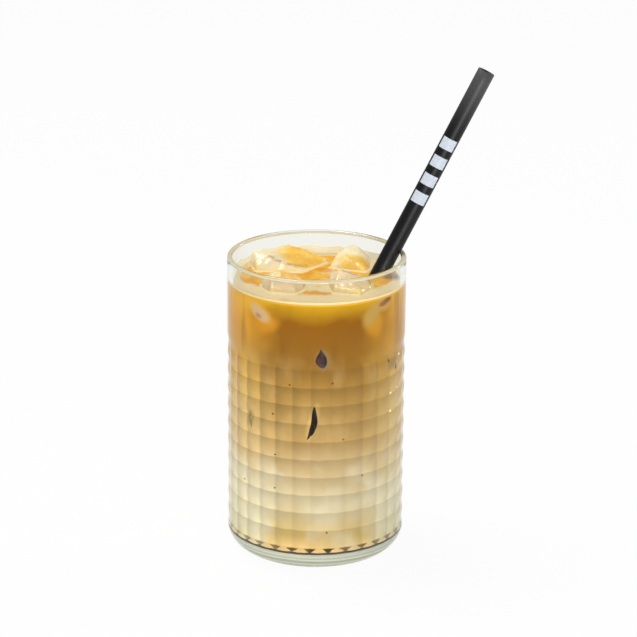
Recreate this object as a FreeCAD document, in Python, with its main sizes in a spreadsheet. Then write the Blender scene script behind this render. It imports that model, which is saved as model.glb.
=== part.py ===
import FreeCAD, Part
import math
import os

import Sketcher

# Iced latte in a pressed glass, with ice and a straw.
# Millimetres, +Z up, the front of the drink towards -Y.
# Origin: the centre of the glass's foot, on the surface that it stands on.
# Bearings are in degrees about +Z from +X, so the front is at -90.

SIZES = {
    # Glass: a straight tumbler with a heavy floor and a large rounded heel.
    "glass_radius": 41.0,
    "glass_height": 141.0,
    "glass_wall": 2.5,
    "glass_floor": 10.0,
    "heel_round": 11.0,
    "inner_corner_round": 4.0,
    "lip_round": 1.15,
    "foot_hollow_radius": 22.0,
    "foot_hollow_depth": 0.8,
    # Relief: rings and flutes of V section that leave a grid of low pyramids.
    "ring_first": 14.3,
    "ring_pitch": 8.62,
    "ring_count": 11,
    "ring_depth": 0.5,
    "flute_count": 30,
    "flute_depth": 0.42,
    "flute_bearing": 1.3,
    "pyramid_land": 1.2,
    "cutter_reach": 1.1,
    "cutter_back": 0.5,
    # Drink: layers from the floor up, filled to a drop below the rim.
    "fill_drop": 11.5,
    "milk_depth": 43.5,
    "coffee_depth": 16.5,
    "foam_depth": 1.2,
    "slab_margin": 5.0,
    # Straw: stands on the floor and leans on the inside of the lip.
    "straw_radius": 4.0,
    "straw_wall": 0.6,
    "straw_length": 238.5,
    "straw_bearing": 8.8,
    "straw_foot_inset": 2.5,
    # Clearance between the drink and everything that stands in it or holds it.
    "fit_gap": 0.05,
}

# Ice: blocks that float with their tops out of the drink, each with its length
# along its bearing, from a core gap off the glass's axis to a wall gap off the
# glass's inner wall. The rise is the height of its centre over the level of the
# drink. Turn, tilt and roll turn it about Z from its bearing, about Y and about X.
ICE_FIELDS = ("bearing", "core_gap", "wall_gap", "width", "height", "rise", "draft", "rounding",
              "turn", "tilt", "roll")
ICE = {
    "ice_1": (126.3, 7.4, 4.1, 22.0, 22.0, -5.0, 1.5, 3.5, 6.7, -2.0, 4.0),
    "ice_2": (49.0, 15.5, 3.0, 17.5, 21.0, -1.6, 1.5, 6.5, 12.0, 4.0, -4.0),
    "ice_3": (224.0, 10.5, 8.0, 18.0, 20.0, -2.4, 1.5, 6.0, -16.0, -5.0, 6.0),
    "ice_4": (313.0, 9.0, 8.5, 19.0, 20.0, -2.2, 1.5, 4.5, -5.0, 6.0, 7.0),
}
SIZES["ice_end_land"] = 0.3
for block, values in ICE.items():
    for field, value in zip(ICE_FIELDS, values):
        SIZES[block + "_" + field] = value

# Sizes that several pieces share, as expressions over the sheet.
INNER_RADIUS = "(Sizes.glass_radius - Sizes.glass_wall)"
LEVEL = "(Sizes.glass_height - Sizes.fill_drop)"
DRINK_FLOOR = "(Sizes.glass_floor + Sizes.fit_gap)"
MILK_TOP = "(Sizes.glass_floor + Sizes.milk_depth)"
COFFEE_TOP = "(" + LEVEL + " - Sizes.foam_depth)"
COFFEE_FOOT = "(" + COFFEE_TOP + " - Sizes.coffee_depth)"

doc = FreeCAD.newDocument("IcedLatte")
sheet = doc.addObject("Spreadsheet::Sheet", "Sizes")
for row, (alias, value) in enumerate(SIZES.items(), start=1):
    sheet.set("A%d" % row, alias)
    sheet.set("B%d" % row, str(value))
    sheet.setAlias("B%d" % row, alias)
doc.recompute()


def size(expression):
    """Value of an expression over the sheet."""
    return float(sheet.evalExpression(expression))


def new_body(name):
    body = doc.addObject("PartDesign::Body", name)
    body.Label = name
    return body


def new_sketch(body, name, plane_role):
    """Empty sketch on one of the body's own origin planes."""
    sketch = body.newObject("Sketcher::SketchObject", name)
    plane = next(f for f in body.Origin.OriginFeatures if f.Role == plane_role)
    sketch.AttachmentSupport = [(plane, "")]
    sketch.MapMode = "FlatFace"
    return sketch


def bind_point(sketch, kind, line, value, tag):
    """Hold the start of a line at a distance from the sketch's origin along one axis."""
    if abs(size(value)) < 1e-9:
        axis = -2 if kind == "DistanceX" else -1
        sketch.addConstraint(Sketcher.Constraint("PointOnObject", line, 1, axis))
        return
    index = sketch.addConstraint(Sketcher.Constraint(kind, -1, 1, line, 1, size(value)))
    sketch.renameConstraint(index, tag)
    sketch.setExpression("Constraints." + tag, value)


def draw_outline(sketch, corners):
    """Closed outline of straight sides through corners given as pairs of expressions."""
    points = [FreeCAD.Vector(size(across), size(up), 0) for across, up in corners]
    count = len(points)
    for i in range(count):
        sketch.addGeometry(Part.LineSegment(points[i], points[(i + 1) % count]))
    for i in range(count):
        sketch.addConstraint(Sketcher.Constraint("Coincident", i, 2, (i + 1) % count, 1))
    for i, (across, up) in enumerate(corners):
        bind_point(sketch, "DistanceX", i, across, "across%d" % i)
        bind_point(sketch, "DistanceY", i, up, "up%d" % i)


def draw_circle(sketch, radius, tag):
    """Circle about the sketch's origin."""
    line = sketch.addGeometry(Part.Circle(FreeCAD.Vector(), FreeCAD.Vector(0, 0, 1), size(radius)))
    sketch.addConstraint(Sketcher.Constraint("Coincident", line, 3, -1, 1))
    index = sketch.addConstraint(Sketcher.Constraint("Radius", line, size(radius)))
    sketch.renameConstraint(index, tag)
    sketch.setExpression("Constraints." + tag, radius)


def revolve(body, name, sketch, kind="PartDesign::Revolution"):
    feature = body.newObject(kind, name)
    feature.Profile = sketch
    feature.ReferenceAxis = (sketch, ["V_Axis"])
    feature.Angle = 360.0
    body.Tip = feature
    doc.recompute()
    return feature


def ring_edge(feature, radius, height):
    """Name of the circular edge about +Z with this radius at this height."""
    for i, edge in enumerate(feature.Shape.Edges, start=1):
        curve = edge.Curve
        if not isinstance(curve, Part.Circle):
            continue
        if abs(curve.Radius - size(radius)) < 1e-6 and abs(curve.Center.z - size(height)) < 1e-6:
            return "Edge%d" % i
    raise RuntimeError("no ring of radius %s at height %s" % (radius, height))


def fillet_ring(body, name, base, radius, height, rounding):
    fillet = body.newObject("PartDesign::Fillet", name)
    fillet.Base = (base, [ring_edge(base, radius, height)])
    fillet.setExpression("Radius", rounding)
    body.Tip = fillet
    doc.recompute()
    return fillet


def cut_must_remove(before, after):
    """A groove that points away from the solid removes nothing and shows no error."""
    if after.Shape.Volume > before.Shape.Volume - 1.0:
        raise RuntimeError(after.Name + " removed nothing")


# ---------------------------------------------------------------- glass

def glass_blank(body):
    """Tumbler of revolution with its heel, floor corner and lip rounded."""
    outer = "Sizes.glass_radius"
    sketch = new_sketch(body, "glass_section", "XZ_Plane")
    draw_outline(sketch, [
        ("0", "Sizes.foot_hollow_depth"),
        ("Sizes.foot_hollow_radius - Sizes.foot_hollow_depth", "Sizes.foot_hollow_depth"),
        ("Sizes.foot_hollow_radius", "0"),
        (outer, "0"),
        (outer, "Sizes.glass_height"),
        (INNER_RADIUS, "Sizes.glass_height"),
        (INNER_RADIUS, "Sizes.glass_floor"),
        ("0", "Sizes.glass_floor"),
    ])
    turned = revolve(body, "glass_turned", sketch)
    heel = fillet_ring(body, "glass_heel", turned, outer, "0", "Sizes.heel_round")
    corner = fillet_ring(body, "glass_corner", heel, INNER_RADIUS, "Sizes.glass_floor",
                         "Sizes.inner_corner_round")
    lip = fillet_ring(body, "glass_lip_outside", corner, outer, "Sizes.glass_height",
                      "Sizes.lip_round")
    return fillet_ring(body, "glass_lip_inside", lip, INNER_RADIUS, "Sizes.glass_height",
                       "Sizes.lip_round")


def cut_rings(body, base):
    """Horizontal V rings, one pitch apart, each nearly a pitch wide."""
    half = "(Sizes.ring_pitch - Sizes.pyramid_land) / 2 * Sizes.cutter_reach"
    flank = "Sizes.glass_radius - Sizes.ring_depth + Sizes.ring_depth * Sizes.cutter_reach"
    back = "Sizes.glass_radius + Sizes.cutter_back"
    sketch = new_sketch(body, "ring_section", "XZ_Plane")
    draw_outline(sketch, [
        ("Sizes.glass_radius - Sizes.ring_depth", "Sizes.ring_first"),
        (flank, "Sizes.ring_first - " + half),
        (back, "Sizes.ring_first - " + half),
        (back, "Sizes.ring_first + " + half),
        (flank, "Sizes.ring_first + " + half),
    ])
    groove = revolve(body, "ring_groove", sketch, "PartDesign::Groove")
    cut_must_remove(base, groove)
    rings = body.newObject("PartDesign::LinearPattern", "rings")
    rings.Originals = [groove]
    rings.Direction = (sketch, ["V_Axis"])
    rings.setExpression("Length", "Sizes.ring_pitch * (Sizes.ring_count - 1)")
    rings.setExpression("Occurrences", "Sizes.ring_count")
    body.Tip = rings
    doc.recompute()
    cut_must_remove(groove, rings)
    return rings


def cut_flutes(body, base):
    """Upright V flutes round the wall, from the heel to the uppermost ring."""
    inner = "(Sizes.glass_radius - Sizes.flute_depth)"
    edge = "(180 / Sizes.flute_count - Sizes.pyramid_land / Sizes.glass_radius / pi * 90)"
    across = inner + " + (Sizes.glass_radius * cos(" + edge + ") - " + inner + ") * Sizes.cutter_reach"
    side = "Sizes.glass_radius * sin(" + edge + ") * Sizes.cutter_reach"
    back = "Sizes.glass_radius + Sizes.cutter_back"
    sketch = new_sketch(body, "flute_section", "XY_Plane")
    sketch.setExpression("AttachmentOffset",
                         "placement(vector(0; 0; 0); rotation(vector(0; 0; 1); Sizes.flute_bearing))")
    draw_outline(sketch, [
        (inner, "0"),
        (across, "-" + side),
        (back, "-" + side),
        (back, side),
        (across, side),
    ])
    flute = body.newObject("PartDesign::Pocket", "flute")
    flute.Profile = sketch
    flute.Reversed = True
    flute.setExpression("Length", "Sizes.ring_first + Sizes.ring_pitch * (Sizes.ring_count - 1)")
    body.Tip = flute
    doc.recompute()
    cut_must_remove(base, flute)
    flutes = body.newObject("PartDesign::PolarPattern", "flutes")
    flutes.Originals = [flute]
    flutes.Axis = (sketch, ["N_Axis"])
    flutes.Angle = 360.0
    flutes.setExpression("Occurrences", "Sizes.flute_count")
    body.Tip = flutes
    doc.recompute()
    cut_must_remove(flute, flutes)


def make_glass():
    body = new_body("glass")
    cut_flutes(body, cut_rings(body, glass_blank(body)))
    return body


# ---------------------------------------------------------------- straw

# The lower side of the straw runs from the floor to the round of the lip.
FOOT_REACH = "(" + INNER_RADIUS + " - 2 * Sizes.straw_radius - Sizes.straw_foot_inset)"
LIP_ACROSS = "(" + FOOT_REACH + " + Sizes.glass_radius - Sizes.glass_wall / 2)"
LIP_RISE = "(Sizes.glass_height - Sizes.glass_wall / 2 - " + DRINK_FLOOR + ")"
LIP_TOUCH = "(Sizes.glass_wall / 2 + Sizes.fit_gap)"
LEAN = ("(atan(" + LIP_ACROSS + " / " + LIP_RISE + ") - asin(" + LIP_TOUCH
        + " / sqrt(" + LIP_ACROSS + "^2 + " + LIP_RISE + "^2)))")
FOOT_OUT = "(-" + FOOT_REACH + " - Sizes.straw_radius * cos" + LEAN + ")"
STRAW_PLACEMENT = (
    "placement(vector(" + FOOT_OUT + " * cos(Sizes.straw_bearing); "
    + FOOT_OUT + " * sin(Sizes.straw_bearing); "
    + DRINK_FLOOR + " + Sizes.straw_radius * sin" + LEAN + "); "
    "rotation(vector(0; 0; 1); Sizes.straw_bearing) * rotation(vector(0; 1; 0); " + LEAN + "))")


def make_straw():
    """Round tube with square-cut ends."""
    body = new_body("straw")
    sketch = new_sketch(body, "straw_section", "XY_Plane")
    draw_circle(sketch, "Sizes.straw_radius", "outside")
    draw_circle(sketch, "Sizes.straw_radius - Sizes.straw_wall", "bore")
    tube = body.newObject("PartDesign::Pad", "straw_tube")
    tube.Profile = sketch
    tube.setExpression("Length", "Sizes.straw_length")
    body.Tip = tube
    body.setExpression("Placement", STRAW_PLACEMENT)
    doc.recompute()
    return body


def make_straw_room():
    """What the straw takes out of the drink."""
    room = doc.addObject("Part::Cylinder", "straw_room")
    room.setExpression("Radius", "Sizes.straw_radius + Sizes.fit_gap")
    room.setExpression("Height", "Sizes.straw_length")
    room.setExpression("Placement", STRAW_PLACEMENT)
    return room


# ---------------------------------------------------------------- ice

def make_ice(block, name, gap):
    """Tapered block with all its edges rounded, grown by a gap on every side."""
    def part(field):
        return "Sizes." + block + "_" + field

    body = new_body(name)
    wedge = body.newObject("PartDesign::AdditiveWedge", name + "_wedge")
    length = "(" + INNER_RADIUS + " - " + part("core_gap") + " - " + part("wall_gap") + ")"
    for axis, whole in (("X", length), ("Y", part("height")), ("Z", part("width"))):
        half = "(" + whole + " / 2 + " + gap + ")"
        wedge.setExpression(axis + "min", "-" + half)
        wedge.setExpression(axis + "max", half)
        if axis != "Y":
            wedge.setExpression(axis + "2min", part("draft") + " - " + half)
            wedge.setExpression(axis + "2max", half + " - " + part("draft"))
    doc.recompute()
    soft = body.newObject("PartDesign::Fillet", name + "_rounding")
    soft.Base = (wedge, ["Edge1"])
    soft.UseAllEdges = True
    widest = "(" + length + " / 2 - " + part("draft") + " - Sizes.ice_end_land)"
    soft.setExpression("Radius", "min(" + part("rounding") + "; " + widest + ") + " + gap)
    body.Tip = soft
    out = "(" + INNER_RADIUS + " + " + part("core_gap") + " - " + part("wall_gap") + ") / 2"
    body.setExpression(
        "Placement",
        "placement(vector(" + out + " * cos(" + part("bearing") + "); "
        + out + " * sin(" + part("bearing") + "); " + LEVEL + " + " + part("rise") + "); "
        "rotation(vector(0; 0; 1); " + part("bearing") + " + " + part("turn") + ") * "
        "rotation(vector(0; 1; 0); " + part("tilt") + ") * "
        "rotation(vector(1; 0; 0); 90 + " + part("roll") + "))")
    doc.recompute()
    return body


# ---------------------------------------------------------------- drink

def make_drink_room():
    """The inside of the glass up to the level of the drink, less the fit gap."""
    body = new_body("drink_room")
    sketch = new_sketch(body, "drink_section", "XZ_Plane")
    radius = INNER_RADIUS + " - Sizes.fit_gap"
    draw_outline(sketch, [("0", DRINK_FLOOR), (radius, DRINK_FLOOR), (radius, LEVEL), ("0", LEVEL)])
    turned = revolve(body, "drink_turned", sketch)
    fillet_ring(body, "drink_corner", turned, radius, DRINK_FLOOR,
                "Sizes.inner_corner_round - Sizes.fit_gap")
    return body


def make_layer(name, room, taken, foot, top):
    """The slab of the drink between two heights, cut round the straw and the ice."""
    slab = doc.addObject("Part::Cylinder", name + "_slab")
    slab.setExpression("Radius", "Sizes.glass_radius + Sizes.slab_margin")
    slab.setExpression("Height", top + " - " + foot)
    slab.setExpression("Placement.Base.z", foot)
    whole = doc.addObject("Part::Common", name + "_whole")
    whole.Base = room
    whole.Tool = slab
    layer = doc.addObject("Part::Cut", name)
    layer.Base = whole
    layer.Tool = taken
    layer.Label = name
    return layer


def make_drink():
    room = make_drink_room()
    taken = doc.addObject("Part::MultiFuse", "taken_room")
    taken.Shapes = [make_straw_room()] + [make_ice(b, b + "_room", "Sizes.fit_gap") for b in ICE]
    heights = (
        ("milk_layer", "(" + DRINK_FLOOR + " - Sizes.slab_margin)", MILK_TOP),
        ("mixed_layer", MILK_TOP, COFFEE_FOOT),
        ("coffee_layer", COFFEE_FOOT, COFFEE_TOP),
        ("foam_layer", COFFEE_TOP, "(" + LEVEL + " + Sizes.slab_margin)"),
    )
    return [make_layer(name, room, taken, foot, top) for name, foot, top in heights]


# ---------------------------------------------------------------- build, check and write

nodes = [make_glass(), make_straw()]
nodes += [make_ice(block, block, "0") for block in ICE]
nodes += make_drink()
doc.recompute()

for item in doc.Objects:
    if "Invalid" in item.State or "Error" in item.State:
        raise RuntimeError("%s failed: %s" % (item.Name, item.State))
for node in nodes:
    shape = node.Shape
    if shape.isNull() or not shape.isValid() or len(shape.Solids) != 1:
        raise RuntimeError("%s is not one valid solid" % node.Label)

os.makedirs("parts", exist_ok=True)
for node in nodes:
    node.Shape.exportStep(os.path.join("parts", node.Label + ".step"))
    box = node.Shape.BoundBox
    print("%-12s volume %10.1f  x %.2f..%.2f  y %.2f..%.2f  z %.2f..%.2f" % (
        node.Label, node.Shape.Volume, box.XMin, box.XMax, box.YMin, box.YMax, box.ZMin, box.ZMax))
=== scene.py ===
import math

import bmesh
import bpy
import numpy as np
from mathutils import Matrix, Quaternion, Vector, noise
from mathutils.bvhtree import BVHTree


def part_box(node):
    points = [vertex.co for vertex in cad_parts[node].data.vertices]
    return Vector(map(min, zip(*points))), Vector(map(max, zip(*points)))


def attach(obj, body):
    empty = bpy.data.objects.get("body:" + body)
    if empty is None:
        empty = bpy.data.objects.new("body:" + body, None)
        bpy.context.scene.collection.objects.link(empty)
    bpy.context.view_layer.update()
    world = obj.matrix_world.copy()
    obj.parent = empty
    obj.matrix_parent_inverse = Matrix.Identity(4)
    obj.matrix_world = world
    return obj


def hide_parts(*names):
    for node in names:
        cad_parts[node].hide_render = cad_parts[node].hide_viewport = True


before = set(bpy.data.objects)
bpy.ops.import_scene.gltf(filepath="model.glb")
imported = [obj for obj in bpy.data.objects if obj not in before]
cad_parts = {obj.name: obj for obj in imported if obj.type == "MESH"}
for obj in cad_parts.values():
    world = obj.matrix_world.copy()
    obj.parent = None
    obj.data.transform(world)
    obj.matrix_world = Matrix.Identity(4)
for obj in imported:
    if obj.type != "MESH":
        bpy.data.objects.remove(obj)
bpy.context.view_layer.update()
MM = 0.001

# ------------------------------------------------------------ sizes from the frame

GLASS_LOW, GLASS_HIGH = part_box("glass")
RADIUS = GLASS_HIGH[0]
HEIGHT = GLASS_HIGH[2]
DRINK_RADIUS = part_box("coffee_layer")[1][0]
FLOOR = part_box("milk_layer")[0][2]
MILK_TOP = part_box("milk_layer")[1][2]
MIXED_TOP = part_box("mixed_layer")[1][2]
COFFEE_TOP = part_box("coffee_layer")[1][2]
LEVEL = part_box("foam_layer")[1][2]

# Sizes of the glass that its box doesn't give.
FIT_GAP = 0.05 * MM
INNER_RADIUS = DRINK_RADIUS + FIT_GAP
GLASS_FLOOR = FLOOR - FIT_GAP
HEEL_ROUND = 11.0 * MM
CORNER_ROUND = 4.0 * MM
LIP_ROUND = (RADIUS - INNER_RADIUS) / 2
HOLLOW_RADIUS = 22.0 * MM
HOLLOW_DEPTH = 0.8 * MM
RING_FIRST = 14.3 * MM
RING_PITCH = 8.62 * MM
RING_COUNT = 11
RING_DEPTH = 0.50 * MM
FLUTE_COUNT = 30
FLUTE_DEPTH = 0.42 * MM
FLUTE_BEARING = math.radians(1.3)
FLUTE_STEP = 2 * math.pi / FLUTE_COUNT
GRID_TOP = RING_FIRST + RING_PITCH * (RING_COUNT - 1)
# The relief lies within this depth of the outside, and the flutes fade in between these heights.
RELIEF_REACH = 6 * MM
FLUTE_FOOT = 9.0 * MM
FLUTE_FULL = 12.5 * MM

# How far the drink reaches into the wall and the floor, and how round its lower edge is.
INTO_WALL = 0.25 * MM
INTO_FLOOR = 0.4 * MM
MILK_EDGE = 0.6 * MM
# Edges sharper than this stay sharp in the shading.
SHARP = math.radians(50)
# How far the drink swells behind each pyramid.
PILLOW = 1.7 * MM
# The light pattern of the relief is seen this much lower and further round than the glass's own rings.
LIGHT_DROP = 1.95 * MM
LIGHT_TURN = math.radians(1.3)


# ------------------------------------------------------------ meshes

def smoothstep(low, high, x):
    """0 at low, 1 at high, smooth between, and held outside."""
    t = min(1.0, max(0.0, (x - low) / (high - low)))
    return t * t * (3 - 2 * t)


def mesh_piece(name, verts, faces, smooth=True):
    """A piece from plain lists, riding on the root body."""
    mesh = bpy.data.meshes.new(name)
    mesh.from_pydata([tuple(v) for v in verts], [], faces)
    mesh.validate()
    mesh.polygons.foreach_set("use_smooth", [smooth] * len(mesh.polygons))
    mesh.set_sharp_from_angle(angle=SHARP)
    piece = bpy.data.objects.new(name, mesh)
    bpy.context.collection.objects.link(piece)
    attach(piece, "root")
    return piece


def ring_faces(rings, segments):
    """Quads of a tube of rings, each joined to the next, closed round its axis."""
    faces = []
    for i in range(rings - 1):
        for j in range(segments):
            k = (j + 1) % segments
            faces.append((i * segments + j, i * segments + k, (i + 1) * segments + k, (i + 1) * segments + j))
    return faces


def lathe(name, profile, segments, shape=None):
    """A closed body turned from a profile of (radius, height) whose ends lie on the axis.

    shape(radius, height, angle) moves the radius where it is given."""
    angles = [2 * math.pi * j / segments for j in range(segments)]
    inner = profile[1:-1]
    verts = []
    for radius, height in inner:
        for angle in angles:
            r = shape(radius, height, angle) if shape else radius
            verts.append((r * math.cos(angle), r * math.sin(angle), height))
    faces = ring_faces(len(inner), segments)
    first, last = len(verts), len(verts) + 1
    verts += [(0, 0, profile[0][1]), (0, 0, profile[-1][1])]
    tail = (len(inner) - 1) * segments
    for j in range(segments):
        k = (j + 1) % segments
        faces.append((first, k, j))
        faces.append((last, tail + j, tail + k))
    return mesh_piece(name, verts, faces)


def arc(cx, cz, radius, start, end, steps):
    """Points of an arc in the profile plane, angles in degrees, without its first point."""
    points = []
    for i in range(1, steps + 1):
        a = math.radians(start + (end - start) * i / steps)
        points.append((cx + radius * math.cos(a), cz + radius * math.sin(a)))
    return points


def line(a, b, steps):
    """Points of a straight run, without its first point."""
    return [(a[0] + (b[0] - a[0]) * i / steps, a[1] + (b[1] - a[1]) * i / steps) for i in range(1, steps + 1)]


# Softness of the grooves, the share of a slope that its rounded top takes, and how much of that stays.
GROOVE_SOFT = 0.12
RIDGE_ROUND = 0.2
RIDGE_KEPT = 0.64


def soft_ridge(t):
    """0 in a groove (t = 0), 0.93 at the ridge (t = 0.5), with both rounded."""
    x = abs((t + 0.5) % 1.0 - 0.5) * 2
    rise = math.sqrt(x * x + GROOVE_SOFT * GROOVE_SOFT) - GROOVE_SOFT
    top = math.sqrt(1 + GROOVE_SOFT * GROOVE_SOFT) - GROOVE_SOFT
    x = rise / top
    start = 1 - RIDGE_ROUND
    if x < start:
        return x
    return start + RIDGE_ROUND * math.sin((x - start) / RIDGE_ROUND * math.pi / 2) * RIDGE_KEPT


def cell_depth(height, angle):
    """Depth of the ring and of the flute at a place, each as a share of its V, 1 in the groove."""
    row = (height - RING_FIRST) / RING_PITCH
    column = (angle - FLUTE_BEARING) / FLUTE_STEP
    ring = 1 - soft_ridge(row) if -0.5 < row < RING_COUNT - 0.5 else 0.0
    flute = 1 - soft_ridge(column) if row < RING_COUNT - 1 else 0.0
    return ring, flute


def outer_relief(radius, height, angle):
    """Radius of the glass's outside, with the rings and flutes cut into it."""
    if radius < RADIUS - RELIEF_REACH or height > GRID_TOP + RING_PITCH:
        return radius
    ring, flute = cell_depth(height, angle)
    flute *= smoothstep(FLUTE_FOOT, FLUTE_FULL, height)
    cut = RADIUS - max(ring * RING_DEPTH, flute * FLUTE_DEPTH)
    return min(radius, cut)


def make_glass():
    lip_z = HEIGHT - LIP_ROUND
    lip_r = RADIUS - LIP_ROUND
    heel_r = RADIUS - HEEL_ROUND
    corner_r = INNER_RADIUS - CORNER_ROUND
    profile = [(0, HOLLOW_DEPTH)]
    profile += line(profile[-1], (HOLLOW_RADIUS - 2 * MM, HOLLOW_DEPTH), 6)
    profile += line(profile[-1], (HOLLOW_RADIUS, 0), 4)
    profile += line(profile[-1], (heel_r, 0), 4)
    profile += arc(heel_r, HEEL_ROUND, HEEL_ROUND, -90, 0, 26)
    grid_steps = 12 * RING_COUNT + 6
    profile += line(profile[-1], (RADIUS, GRID_TOP + RING_PITCH / 2), grid_steps)
    profile += line(profile[-1], (RADIUS, lip_z), 24)
    profile += arc(lip_r, lip_z, LIP_ROUND, 0, 180, 18)
    profile += line(profile[-1], (INNER_RADIUS, GLASS_FLOOR + CORNER_ROUND), 40)
    profile += arc(corner_r, GLASS_FLOOR + CORNER_ROUND, CORNER_ROUND, 0, -90, 8)
    profile += line(profile[-1], (2 * MM, GLASS_FLOOR), 10)
    profile.append((0, GLASS_FLOOR))
    glass = lathe("glass_body", profile, FLUTE_COUNT * 12, outer_relief)
    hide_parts("glass")
    glass.data.materials.append(glass_material())


# Half the width of the pale core of the lip, and its height as a share of its width.
LIP_CORE = 0.62 * MM
LIP_FLAT = 0.55


def make_lip_glow():
    """The light that gathers in the glass's lip, as a pale core inside it: a closed ring."""
    segments, around = 240, 20
    verts, faces = [], []
    for i in range(segments):
        a = 2 * math.pi * i / segments
        for j in range(around):
            b = 2 * math.pi * j / around
            r = RADIUS - LIP_ROUND + LIP_CORE * math.cos(b)
            z = HEIGHT - LIP_ROUND + LIP_CORE * LIP_FLAT * math.sin(b)
            verts.append((r * math.cos(a), r * math.sin(a), z))
    for i in range(segments):
        for j in range(around):
            k, m = (i + 1) % segments, (j + 1) % around
            faces.append((i * around + j, k * around + j, k * around + m, i * around + m))
    core = mesh_piece("lip_glow", verts, faces)
    mat, tree, out = new_material("lip_glow")
    place = node(tree, "ShaderNodeTexCoord").outputs["Object"]
    slow = noise_map(tree, place, 40.0, 2.0)
    tone = blend(tree, slow, srgb(206, 196, 168), srgb(232, 224, 198))
    plain_shader(tree, out, {"Base Color": tone, "Roughness": 0.6, "Specular IOR Level": 0.0})
    core.data.materials.append(mat)


# Radius and height in mm round the section of the pale core of the base.
BASE_CORE = ((39.4, 9.1), (38.9, 8.0), (37.6, 7.5), (37.2, 6.6), (35.9, 5.9), (35.3, 4.8),
             (33.6, 4.1), (32.8, 3.0), (30.4, 2.3), (26.0, 2.2), (26.0, 9.1))
# The bands of light in it: share of BASE_TALL and colour.
BASE_TALL = 10 * MM
BASE_BANDS = (
    (0.22, (220, 220, 200)), (0.30, (190, 190, 165)), (0.38, (235, 235, 220)), (0.49, (180, 180, 160)),
    (0.58, (235, 240, 230)), (0.67, (195, 200, 180)), (0.76, (230, 230, 220)), (0.88, (200, 200, 185)),
)


def make_base_glow():
    """The light that gathers in the thick base, as a pale stepped ring under the drink."""
    segments = 180
    turns = [2 * math.pi * j / segments for j in range(segments)]
    verts = [(r * MM * math.cos(a), r * MM * math.sin(a), z * MM) for r, z in BASE_CORE for a in turns]
    faces = ring_faces(len(BASE_CORE), segments)
    last = (len(BASE_CORE) - 1) * segments
    faces += [(last + j, last + (j + 1) % segments, (j + 1) % segments, j) for j in range(segments)]
    core = mesh_piece("base_glow", verts, faces)
    mat, tree, out = new_material("base_glow")
    place, height = place_and_height(tree)
    slow = noise_map(tree, place, 60.0, 2.0)
    bent = maths(tree, "MULTIPLY_ADD", maths(tree, "SUBTRACT", slow, 0.5), 0.7 * MM, height)
    tone = colour_ramp(tree, maths(tree, "DIVIDE", bent, BASE_TALL), BASE_BANDS)
    plain_shader(tree, out, {"Base Color": tone, "Roughness": 0.6, "Specular IOR Level": 0.0})
    core.data.materials.append(mat)


# ------------------------------------------------------------ materials

def srgb(r, g, b):
    """Linear colour from the 0-255 values that it shows as."""
    def lin(v):
        v /= 255
        return v / 12.92 if v <= 0.04045 else ((v + 0.055) / 1.055) ** 2.4
    return (lin(r), lin(g), lin(b), 1.0)


def new_material(name):
    """A material, its node tree and the output, which is all that the tree holds."""
    mat = bpy.data.materials.new(name)
    mat.use_nodes = True
    tree = mat.node_tree
    tree.nodes.clear()
    out = tree.nodes.new("ShaderNodeOutputMaterial")
    return mat, tree, out


def node(tree, kind, inputs=None, **settings):
    """A node with its settings, and each input linked to a socket or set to a value."""
    n = tree.nodes.new(kind)
    for key, value in settings.items():
        setattr(n, key, value)
    for key, value in (inputs or {}).items():
        if isinstance(value, bpy.types.NodeSocket):
            tree.links.new(value, n.inputs[key])
        else:
            n.inputs[key].default_value = value
    return n


def plain_shader(tree, out, inputs):
    """A Principled shader with these inputs as the whole surface."""
    shader = node(tree, "ShaderNodeBsdfPrincipled", inputs)
    tree.links.new(shader.outputs[0], out.inputs["Surface"])


def noise_map(tree, place, scale, detail, **inputs):
    """A noise over the place, from 0 to 1."""
    settings = {"Vector": place, "Scale": scale, "Detail": detail, **inputs}
    return node(tree, "ShaderNodeTexNoise", settings).outputs[0]


def painted(tree, name):
    """What the mesh holds at each point under a name."""
    return node(tree, "ShaderNodeAttribute", attribute_name=name).outputs["Fac"]


def place_and_height(tree):
    place = node(tree, "ShaderNodeTexCoord").outputs["Object"]
    return place, node(tree, "ShaderNodeSeparateXYZ", {0: place}).outputs[2]


def lamps_pass(tree, out, shader, clear_colour):
    """Lamps and the light scattered by the drink pass straight through what shader covers."""
    clear = node(tree, "ShaderNodeBsdfTransparent", {"Color": clear_colour})
    path = node(tree, "ShaderNodeLightPath")
    diffuse = node(tree, "ShaderNodeMixShader", {
        0: path.outputs["Is Diffuse Ray"], 1: shader, 2: clear.outputs[0]})
    lamps = node(tree, "ShaderNodeMixShader", {
        0: path.outputs["Is Shadow Ray"], 1: diffuse.outputs[0], 2: clear.outputs[0]})
    tree.links.new(lamps.outputs[0], out.inputs["Surface"])


GLASS_TINT = (0.90, 0.91, 0.86, 1)
GLASS_IOR = 1.38


def glass_material():
    """Pale grey-green soda glass; its body colour deepens in the thick base."""
    mat, tree, out = new_material("pressed_glass")
    shader = node(tree, "ShaderNodeBsdfPrincipled", {
        "Base Color": GLASS_TINT, "Roughness": 0.0, "IOR": GLASS_IOR, "Transmission Weight": 1.0,
        "Specular Tint": (0.5, 0.5, 0.5, 1)})
    lamps_pass(tree, out, shader.outputs[0], (0.97, 0.975, 0.955, 1))
    body = node(tree, "ShaderNodeVolumeAbsorption", {"Color": (0.60, 0.64, 0.45, 1), "Density": 12.0})
    tree.links.new(body.outputs[0], out.inputs["Volume"])
    return mat


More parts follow.
